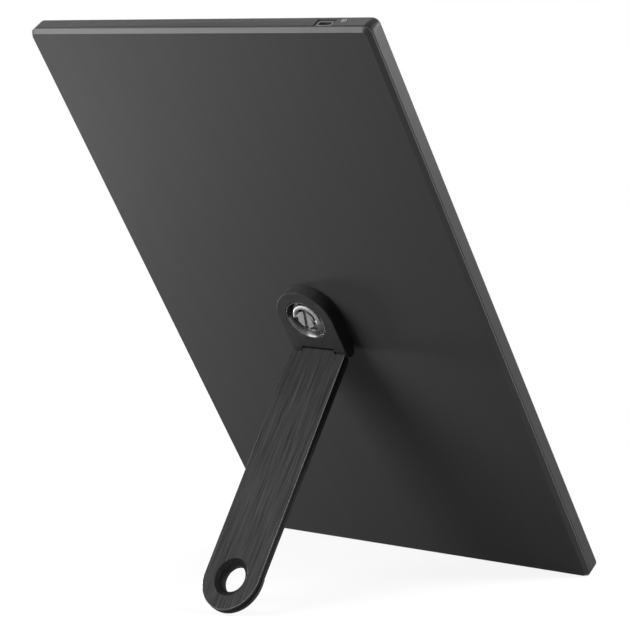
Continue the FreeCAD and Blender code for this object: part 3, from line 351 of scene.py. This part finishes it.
# %% Brushed arm
hang_hole = next(mount for mount in frame["record"]["mounts"] if mount["name"] == "hang_hole")
HOLE_MIDDLE = Vector(hang_hole["pos_m"])
FACE_OUT = Vector(hang_hole["axis"]).normalized()
ARM_TILT = math.atan2(FACE_OUT.y, FACE_OUT.z)
CHAMFER_SLANT = (0.6, 0.8)
HOLE_RIM = 12.5 * MM

brushed = Finish("brushed_arm", Metallic=0.6, Specular_IOR_Level=0.1)
fine_lines = brushed.noise(1.0, 2.0, brushed.along(ARM_TILT, (5200, 45, 5200)))
broad_lines = brushed.noise(1.0, 4.0, brushed.along(ARM_TILT, (1900, 30, 1900)))
brushed.tone(broad_lines, grey(0.003), grey(0.018))
brushed.polish(fine_lines, 0.42, 0.56)
brushed.relief(fine_lines, 0.000012)
dress(brushed, "arm_plate")

bright_edge = Finish("cut_chamfer", Metallic=1.0)
bright_edge.tone(bright_edge.noise(0.002), grey(0.11), grey(0.15))
bright_edge.polish(bright_edge.noise(0.0005), 0.22, 0.32)


def on_chamfer(face):
    """Whether a face of the arm is on its cut edge, and not at the hole."""
    slants = CHAMFER_SLANT[0] < face.normal.dot(FACE_OUT) < CHAMFER_SLANT[1]
    return slants and (face.center - HOLE_MIDDLE).length > HOLE_RIM


dress_faces(bright_edge, "arm_plate", on_chamfer)

# %% [markdown]
# The head is cast and dark painted, with a slight tooth. The liner under the plate is plain matt plastic, and
# the foot and the pad under the head are rubber, duller still.

# %% Head, liner and rubber
head_finish = Finish("dark_head", Specular_IOR_Level=0.05)
head_finish.tone(head_finish.noise(0.006), grey(0.026), grey(0.034))
head_finish.polish(head_finish.noise(0.001), 0.36, 0.46)
head_finish.relief(head_finish.noise(0.0002, 1.0), 0.000004)
dress(head_finish, "stand_head", "hinge_plug")

liner_finish = Finish("liner_plastic", Specular_IOR_Level=0.1)
liner_finish.tone(liner_finish.noise(0.01), grey(0.014), grey(0.019))
liner_finish.polish(liner_finish.noise(0.002), 0.5, 0.6)
liner_finish.relief(liner_finish.noise(0.0002, 1.0), 0.000004)
dress(liner_finish, "arm_liner")

rubber_finish = Finish("black_rubber", Specular_IOR_Level=0.25)
rubber_finish.tone(rubber_finish.noise(0.004), grey(0.013), grey(0.019))
rubber_finish.polish(rubber_finish.noise(0.0012), 0.68, 0.82)
rubber_finish.relief(rubber_finish.noise(0.0003, 2.0), 0.00001)
dress(rubber_finish, "head_pad", "foot_pad")
print("stand dressed")

# %% [markdown]
# The cup and the screw are turned metal, and the ring is bent wire. Turning leaves fine circles round the axis,
# so their relief comes from the distance to the screw's axis: a wave in that distance.

# %% Turned and polished metal


def distance_from_screw(finish):
    """How far a point lies from the screw's axis, in metres."""
    offset = finish.add("ShaderNodeVectorMath", operation="SUBTRACT")
    finish.join(finish.place, offset.inputs[0])
    offset.inputs[1].default_value = BACK_MIDDLE
    sideways = finish.add("ShaderNodeVectorMath", operation="CROSS_PRODUCT")
    finish.join(offset.outputs["Vector"], sideways.inputs[0])
    sideways.inputs[1].default_value = OUT
    length = finish.add("ShaderNodeVectorMath", operation="LENGTH")
    finish.join(sideways.outputs["Vector"], length.inputs[0])
    return length.outputs["Value"]


def turning_lines(finish, pitch):
    """A ripple from the axis outwards, one wave for each pitch in metres."""
    count = finish.add("ShaderNodeMath", operation="MULTIPLY")
    finish.join(distance_from_screw(finish), count.inputs[0])
    count.inputs[1].default_value = 2 * math.pi / pitch
    ripple = finish.add("ShaderNodeMath", operation="SINE")
    finish.join(count.outputs[0], ripple.inputs[0])
    return ripple.outputs[0]


cup_finish = Finish("polished_cup", Metallic=1.0)
cup_finish.tone(cup_finish.noise(0.003), grey(0.08), grey(0.11))
cup_finish.polish(cup_finish.noise(0.0008), 0.24, 0.30)
cup_finish.relief(turning_lines(cup_finish, 0.00012), 0.0000006)
dress(cup_finish, "screw_cup")

screw_finish = Finish("turned_screw", Metallic=1.0)
screw_finish.tone(screw_finish.noise(0.0025), grey(0.22), grey(0.28))
screw_finish.polish(screw_finish.noise(0.0006), 0.36, 0.46)
screw_finish.relief(turning_lines(screw_finish, 0.00018), 0.0000010)
dress(screw_finish, "tripod_screw")

ring_finish = Finish("ring_wire", Metallic=1.0)
ring_finish.tone(ring_finish.noise(0.0015), grey(0.24), grey(0.30))
ring_finish.polish(ring_finish.noise(0.0005), 0.50, 0.60)
dress(ring_finish, "d_ring")

steel_finish = Finish("plain_steel", Metallic=1.0)
steel_finish.tone(steel_finish.noise(0.002), grey(0.45), grey(0.55))
steel_finish.polish(steel_finish.noise(0.0004), 0.25, 0.4)
dress(steel_finish, "mount_plate", "hinge_shaft", "friction_washers", "screw_clip")
dress(steel_finish, "board_screws", "key_screws", "mount_screws")

shell_finish = Finish("socket_steel", Metallic=1.0)
shell_finish.tone(shell_finish.noise(0.002), grey(0.20), grey(0.26))
shell_finish.polish(shell_finish.noise(0.0004), 0.3, 0.42)
dress(shell_finish, "usb_c_shell")

brass_finish = Finish("machined_brass", Metallic=1.0)
brass_finish.tone(brass_finish.noise(0.002), (0.62, 0.42, 0.16), (0.74, 0.54, 0.24))
brass_finish.polish(brass_finish.noise(0.0006), 0.22, 0.34)
brass_finish.relief(turning_lines(brass_finish, 0.0003), 0.000001)
dress(brass_finish, "tripod_nut", "friction_bush")
print("metal dressed")

# %% [markdown]
# The screen is switched off: a dark, slightly blue panel behind an anti-glare front. The lit area is a little
# smaller than the window, so a hair of black border shows round it. The border is a mask in the finish,
# worked out from the distance to the window's middle, across and up.

# %% Screen
LIT_SHORT = 193.6 * MM
LIT_LONG = 344.2 * MM
tape_low, tape_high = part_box("bezel_tape")
window_middle = (tape_low + tape_high) / 2
screen = Finish("screen_glass", Specular_IOR_Level=0.3)


def beyond(finish, direction, half):
    """One where a point lies further than half from the window's middle along a direction."""
    offset = finish.add("ShaderNodeVectorMath", operation="SUBTRACT")
    finish.join(finish.place, offset.inputs[0])
    offset.inputs[1].default_value = window_middle
    along = finish.add("ShaderNodeVectorMath", operation="DOT_PRODUCT")
    finish.join(offset.outputs["Vector"], along.inputs[0])
    along.inputs[1].default_value = direction
    size = finish.add("ShaderNodeMath", operation="ABSOLUTE")
    finish.join(along.outputs["Value"], size.inputs[0])
    outside = finish.add("ShaderNodeMath", operation="GREATER_THAN")
    finish.join(size.outputs[0], outside.inputs[0])
    outside.inputs[1].default_value = half
    return outside.outputs[0]


border = screen.add("ShaderNodeMath", operation="MAXIMUM")
screen.join(beyond(screen, ACROSS, LIT_SHORT / 2), border.inputs[0])
screen.join(beyond(screen, UP, LIT_LONG / 2), border.inputs[1])
screen.tone(border.outputs[0], (0.010, 0.011, 0.014), (0.003, 0.003, 0.003), 0.0, 1.0)
screen.polish(screen.noise(0.0002, 1.0), 0.20, 0.26)
dress(screen, "lcd_glass")
print("window middle", [round(value, 4) for value in window_middle])

# %% [markdown]
# The inner pieces are sealed in, but a part that is taken to pieces should show them finished: boards with
# copper runs under green lacquer, amber flat cables with their lines, white films, and a bright tray.

# %% Inner pieces
board_finish = Finish("board_lacquer", Roughness=0.35)
runs = board_finish.add("ShaderNodeTexBrick", Scale=420.0, Mortar_Size=0.06)
board_finish.join(board_finish.place, runs.inputs["Vector"])
board_finish.tone(runs.outputs["Fac"], (0.012, 0.10, 0.045), (0.03, 0.19, 0.08), 0.2, 0.8)
dress(board_finish, "main_board", "panel_board", "key_board")

lamp_finish = Finish("lamp_strip", Roughness=0.4)
lamp_finish.tone(lamp_finish.noise(0.004), (0.75, 0.72, 0.5), (0.9, 0.88, 0.75))
dress(lamp_finish, "led_strip")

chip_finish = Finish("chip_case", Specular_IOR_Level=0.3)
chip_finish.tone(chip_finish.noise(0.002), grey(0.018), grey(0.028))
chip_finish.polish(chip_finish.noise(0.0006), 0.5, 0.65)
dress(chip_finish, "board_chips", "key_switches", "usb_c_tongue")

flex_finish = Finish("amber_film", Roughness=0.3)
lines = flex_finish.add("ShaderNodeTexWave", Scale=320.0, Distortion=0.0)
flex_finish.join(flex_finish.place, lines.inputs["Vector"])
flex_finish.tone(lines.outputs["Fac"], (0.32, 0.13, 0.02), (0.55, 0.27, 0.05))
dress(flex_finish, "panel_flex", "display_cable", "key_cable")

film_finish = Finish("white_film", Roughness=0.6)
film_finish.tone(film_finish.noise(0.01), grey(0.80), grey(0.86))
dress(film_finish, "diffuser_films", "reflector_sheet")

guide_finish = Finish("light_guide", Roughness=0.12, IOR=1.49, Transmission_Weight=0.6)
guide_finish.tone(guide_finish.noise(0.001), (0.82, 0.88, 0.9), (0.9, 0.95, 0.96))
dress(guide_finish, "light_guide", "status_light")

tray_finish = Finish("rolled_tray", Metallic=1.0)
tray_finish.tone(tray_finish.noise(0.01), grey(0.6), grey(0.7))
tray_finish.polish(tray_finish.noise(1.0, 2.0, tray_finish.along(0, (30, 3000, 3000))), 0.25, 0.4)
dress(tray_finish, "backlight_tray")

tape_finish = Finish("black_tape", Specular_IOR_Level=0.2)
tape_finish.tone(tape_finish.noise(0.004), grey(0.012), grey(0.018))
tape_finish.polish(tape_finish.noise(0.001), 0.7, 0.85)
dress(tape_finish, "bezel_tape", "insulation_film")
undressed = [name for name, item in frame["nodes"].items() if len(item.data.materials) == 0]
print("nodes without a finish:", undressed)

# %% [markdown]
# Small marks are printed in light ink: one beside the socket and one on each key. A mark is drawn as pen
# strokes: each stroke is a line of points with a width, widened to both sides and raised by the thickness of
# the ink. The key marks ride on their own keys, so they go down with them.

# %% Pen strokes for small marks
INK = 0.03
SUNK = 0.01


def stroke_walls(shape, points, width, closed, place):
    """Add one stroke to a mesh in the making: a strip through flat points, with a top, a bottom and sides."""
    count = len(points)
    rows = []
    for index, (x, y) in enumerate(points):
        before = points[index - 1] if closed or index else points[0]
        after = points[(index + 1) % count] if closed or index + 1 < count else points[-1]
        way = Vector((after[0] - before[0], after[1] - before[1])).normalized() * width / 2
        left = (x - way.y, y + way.x)
        right = (x + way.y, y - way.x)
        corners = [(*left, INK), (*right, INK), (*right, -SUNK), (*left, -SUNK)]
        rows.append([shape.verts.new(place(*corner)) for corner in corners])
    for index in range(count if closed else count - 1):
        here, there = rows[index], rows[(index + 1) % count]
        for side in range(4):
            shape.faces.new([here[side], here[side - 1], there[side - 1], there[side]])
    if not closed:
        shape.faces.new(rows[0])
        shape.faces.new(reversed(rows[-1]))


def new_piece(name, shape, finish):
    """An object made from a mesh in the making, with its faces turned outwards."""
    bmesh.ops.recalc_face_normals(shape, faces=shape.faces)
    skin = bpy.data.meshes.new(name)
    shape.to_mesh(skin)
    shape.free()
    skin.materials.append(finish.material)
    piece = bpy.data.objects.new(name, skin)
    bpy.context.scene.collection.objects.link(piece)
    print(name, "faces:", len(skin.polygons))
    return piece


def printed_mark(name, strokes, width, place, body):
    """A mark of pen strokes that rides on a body."""
    shape = bmesh.new()
    for points, closed in strokes:
        stroke_walls(shape, points, width, closed, place)
    mark = new_piece(name, shape, ink_finish)
    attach(mark, body)


def arc(middle, radius, start, end, steps=24):
    """Points along an arc, with angles in degrees."""
    angles = [math.radians(start + (end - start) * step / steps) for step in range(steps + 1)]
    return [(middle[0] + radius * math.cos(angle), middle[1] + radius * math.sin(angle)) for angle in angles]


ink_finish = Finish("printed_ink", Specular_IOR_Level=0.2)
ink_finish.tone(ink_finish.noise(0.0004), grey(0.42), grey(0.50))
ink_finish.polish(ink_finish.noise(0.0002), 0.5, 0.65)

# %% [markdown]
# The mark beside the socket is a plain pill with a bar in it, the outline of the plug that fits there. The
# keys carry the usual power, plus and minus signs. Front marks are drawn as seen from the front, where the
# panel's across axis runs the other way.

# %% Printed marks
WALL_TOP = 180.25
PORT_MARK_ACROSS, PORT_MARK_OUT = 94.5, -7.65
PORT_STROKE, KEY_STROKE = 0.28, 0.22
KEY_ACROSS, KEY_FRONT = 104, -12.0


def on_upper_wall(x, y, z):
    """A place on the upper wall, counted from the middle of the port's mark."""
    return on_panel(PORT_MARK_ACROSS + x, WALL_TOP + z, PORT_MARK_OUT + y)


pill = arc((0.5, 0), 0.8, -90, 90, 12) + arc((-0.5, 0), 0.8, 90, 270, 12)
port_sign = [(pill, True), ([(-0.5, 0), (0.5, 0)], False)]
printed_mark("port_mark", port_sign, PORT_STROKE, on_upper_wall, "panel")

power_sign = [(arc((0, 0), 0.85, 125, 415), False), ([(0, 0.3), (0, 1.15)], False)]
minus_sign = [([(-0.9, 0), (0.9, 0)], False)]
plus_sign = minus_sign + [([(0, 0.11), (0, 0.9)], False), ([(0, -0.9), (0, -0.11)], False)]
key_signs = (("power_key", 152, power_sign), ("plus_key", 139, plus_sign), ("minus_key", 126, minus_sign))
for key, up, sign in key_signs:

    def on_key(x, y, z, up=up):
        """A place on the key's front, counted from its middle."""
        return on_panel(KEY_ACROSS - x, up + y, KEY_FRONT - z)

    printed_mark(key.replace("_key", "_mark"), sign, KEY_STROKE, on_key, key)

# %% [markdown]
# A socket's tongue carries a row of gilded contacts on each face. Each contact is a flat strip with a rounded
# front end, pressed into the tongue by a hair.

# %% Contacts in the socket
SOCKET_ACROSS, SOCKET_FRONT, SOCKET_OUT = 84.0, 179.85, -5.75
CONTACT_TIP = SOCKET_FRONT - 1.85
CONTACT_ROOT = SOCKET_FRONT - 5.25
CONTACT_HALF = 0.13
CONTACT_RAISED, CONTACT_SUNK = 0.03, 0.01

gold_finish = Finish("gilded_contact", Metallic=1.0)
gold_finish.tone(gold_finish.noise(0.0006), (0.70, 0.48, 0.16), (0.80, 0.58, 0.24))
gold_finish.polish(gold_finish.noise(0.0003), 0.25, 0.35)


def contact_strips(name, pitch, count, half_tongue):
    """Both rows of contact strips as one piece."""
    shape = bmesh.new()
    tip = arc((0, CONTACT_TIP), CONTACT_HALF, 180, 0, 6)
    outline = [(-CONTACT_HALF, CONTACT_ROOT)] + tip + [(CONTACT_HALF, CONTACT_ROOT)]
    for face in (1, -1):
        for index in range(count):
            across = SOCKET_ACROSS + (index - (count - 1) / 2) * pitch
            skins = []
            for depth in (half_tongue + CONTACT_RAISED, half_tongue - CONTACT_SUNK):
                places = [on_panel(across + x, y, SOCKET_OUT + face * depth) for x, y in outline]
                skins.append([shape.verts.new(place) for place in places])
            for skin in skins:
                shape.faces.new(skin)
            for here in range(len(outline)):
                shape.faces.new([skins[0][here - 1], skins[0][here], skins[1][here], skins[1][here - 1]])
    contacts = new_piece(name, shape, gold_finish)
    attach(contacts, "panel")


contact_strips("socket_contacts", pitch=0.5, count=12, half_tongue=0.35)

# %% [markdown]
# Machined and moulded edges are never razor sharp, and a hair of rounding is what catches the light along
# them. A bevel modifier adds it on top of the solids, which stay as they are underneath; a weld modifier
# first closes the seams between the solids' faces. The back cover has a wide bevel of its own and needs none.

# %% Soft edges
SEAM_GAP = 0.002 * MM
SHARP_ANGLE = math.radians(32)


def soften(radius, *names):
    """A hair of rounding on a node's sharp edges, in millimetres."""
    for name in names:
        item = frame["nodes"][name]
        weld = item.modifiers.new("close_seams", "WELD")
        weld.merge_threshold = SEAM_GAP
        edge = item.modifiers.new("soft_edge", "BEVEL")
        edge.width = radius * MM
        edge.segments = 2
        edge.limit_method = "ANGLE"
        edge.angle_limit = SHARP_ANGLE
        edge.harden_normals = True


soften(0.15, "front_frame", "stand_head", "foot_pad", "arm_liner")
soften(0.08, "arm_plate", "tripod_screw", "screw_cup", "power_key", "plus_key", "minus_key")
print("edges softened")

# %% [markdown]
# Last, the view layer is brought up to date.

# %% Finish
bpy.context.view_layer.update()
